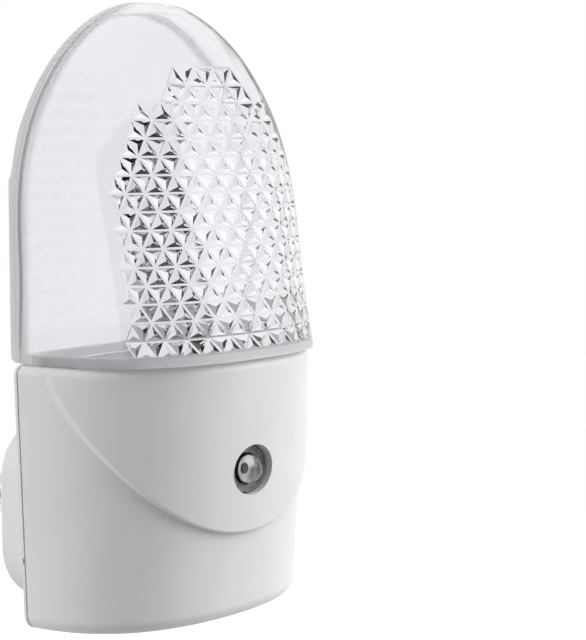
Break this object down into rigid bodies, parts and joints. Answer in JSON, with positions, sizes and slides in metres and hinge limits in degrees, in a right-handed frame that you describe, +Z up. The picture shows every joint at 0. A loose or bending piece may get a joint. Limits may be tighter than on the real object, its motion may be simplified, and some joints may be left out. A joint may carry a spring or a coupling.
{
  "type": "plug in night light",
  "caption": "Plug-in night light: bowed white housing with a light sensor under a clear arched shade lined with small prisms, flat-bladed outlet plug on the back.",
  "frame": {"origin": "centre of the plug block's end face, on the centre line of the two blades, where the light bears on the outlet", "axes": "+Z up along the housing and shade, +Y into the wall outlet along the blades, front of the light towards -Y"},
  "size_m": [0.0548, 0.0543, 0.0938],
  "materials": {
    "housing_plastic": "satin moulded white plastic",
    "cover_plastic": "satin moulded white plastic",
    "clear_plastic": "clear moulded plastic, ribbed with small prisms inside",
    "plated_metal": "nickel plated brass strip",
    "screw_steel": "zinc plated steel",
    "retainer_board": "pale insulating sheet",
    "board_laminate": "phenolic circuit board",
    "lamp_resin": "clear cast resin",
    "sensor_resin": "clear cast resin, faintly blue",
    "holder_plastic": "dull dark plastic",
    "film_capacitor_case": "moulded box, ochre",
    "capacitor_sleeve": "shrunk sleeve over an aluminium can",
    "black_epoxy": "moulded epoxy",
    "zener_glass": "sealed glass",
    "resistor_coating": "dipped coating",
    "fuse_coating": "flameproof dipped coating",
    "wire_insulation_black": "soft insulation",
    "wire_insulation_white": "soft insulation"
  },
  "bodies": {
    "lamp_body": {"front_housing": "housing_plastic", "rear_cover": "cover_plastic", "blade_left": "plated_metal", "blade_right": "plated_metal", "blade_retainer": "retainer_board", "assembly_screws": "screw_steel", "circuit_board": "board_laminate", "led_left": "lamp_resin", "led_right": "lamp_resin", "light_sensor": "sensor_resin", "sensor_holder": "holder_plastic", "film_capacitor": "film_capacitor_case", "smoothing_capacitor": "capacitor_sleeve", "transistor": "black_epoxy", "rectifier_diodes": "black_epoxy", "zener_diode": "zener_glass", "resistors": "resistor_coating", "fusible_resistor": "fuse_coating", "lead_wire_left": "wire_insulation_black", "lead_wire_right": "wire_insulation_white"},
    "shade_body": {"shade": "clear_plastic"}
  },
  "joints": [
    {"name": "shade_lift", "type": "slide", "parent": "lamp_body", "child": "shade_body", "axis": [0, 0, 1], "range_m": [0, 0.02]}
  ]
}
